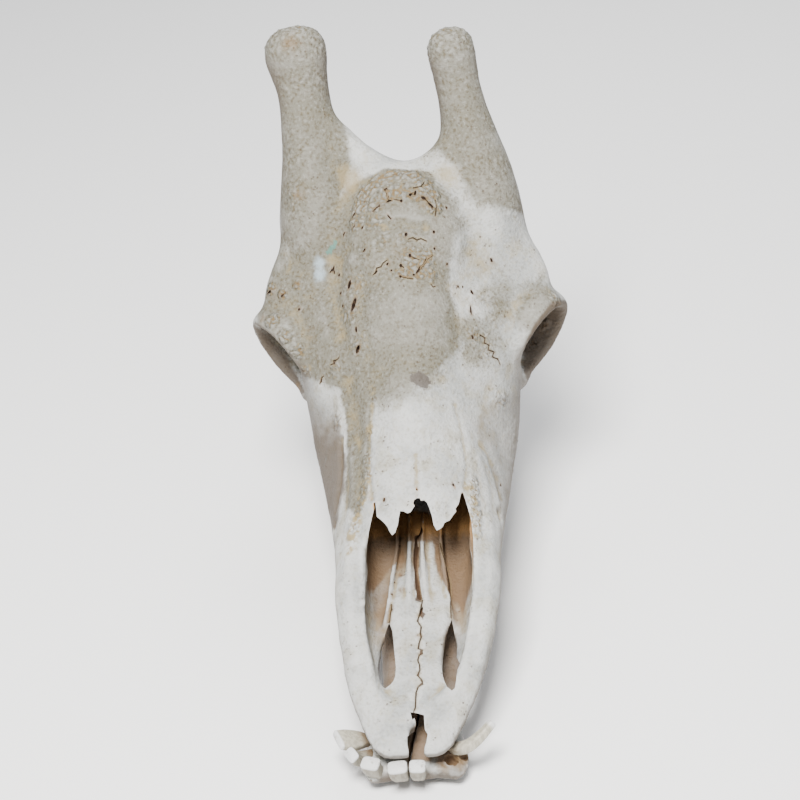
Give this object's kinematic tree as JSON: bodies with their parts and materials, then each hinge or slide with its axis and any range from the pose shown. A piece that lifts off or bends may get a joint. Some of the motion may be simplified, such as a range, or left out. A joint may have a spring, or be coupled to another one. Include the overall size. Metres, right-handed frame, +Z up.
{
  "type": "giraffe skull",
  "caption": "Dried giraffe skull resting on a table: cranium with two horn cores and a brow boss, both halves of the lower jaw under it, worn cheek teeth and a broken fan of front teeth.",
  "frame": {"origin": "middle of the skull's footprint on the table it rests on, at table height", "axes": "+Z up from the table, +Y from the tip of the muzzle to the back of the skull, +X to the animal's left"},
  "size_m": [0.271, 0.5979, 0.4291],
  "materials": {
    "bone": "dry matt bone, bleached on top and cream to brown in its hollows",
    "enamel": "worn tooth enamel and dentine, semi-matt"
  },
  "bodies": {
    "root": {"cranium": "bone", "mandible_left": "bone", "mandible_right": "bone", "incisor_1_right": "enamel", "incisor_2_right": "enamel", "incisor_3_right": "enamel", "canine_right": "enamel", "incisor_1_left": "enamel", "canine_left": "enamel", "upper_premolar_2_left": "enamel", "upper_premolar_3_left": "enamel", "upper_premolar_4_left": "enamel", "upper_molar_1_left": "enamel", "upper_molar_2_left": "enamel", "upper_molar_3_left": "enamel", "lower_premolar_2_left": "enamel", "lower_premolar_3_left": "enamel", "lower_premolar_4_left": "enamel", "lower_molar_1_left": "enamel", "lower_molar_2_left": "enamel", "lower_molar_3_left": "enamel", "upper_premolar_2_right": "enamel", "upper_premolar_3_right": "enamel", "upper_premolar_4_right": "enamel", "upper_molar_1_right": "enamel", "upper_molar_2_right": "enamel", "upper_molar_3_right": "enamel", "lower_premolar_2_right": "enamel", "lower_premolar_3_right": "enamel", "lower_premolar_4_right": "enamel", "lower_molar_1_right": "enamel", "lower_molar_2_right": "enamel", "lower_molar_3_right": "enamel"}
  },
  "joints": []
}
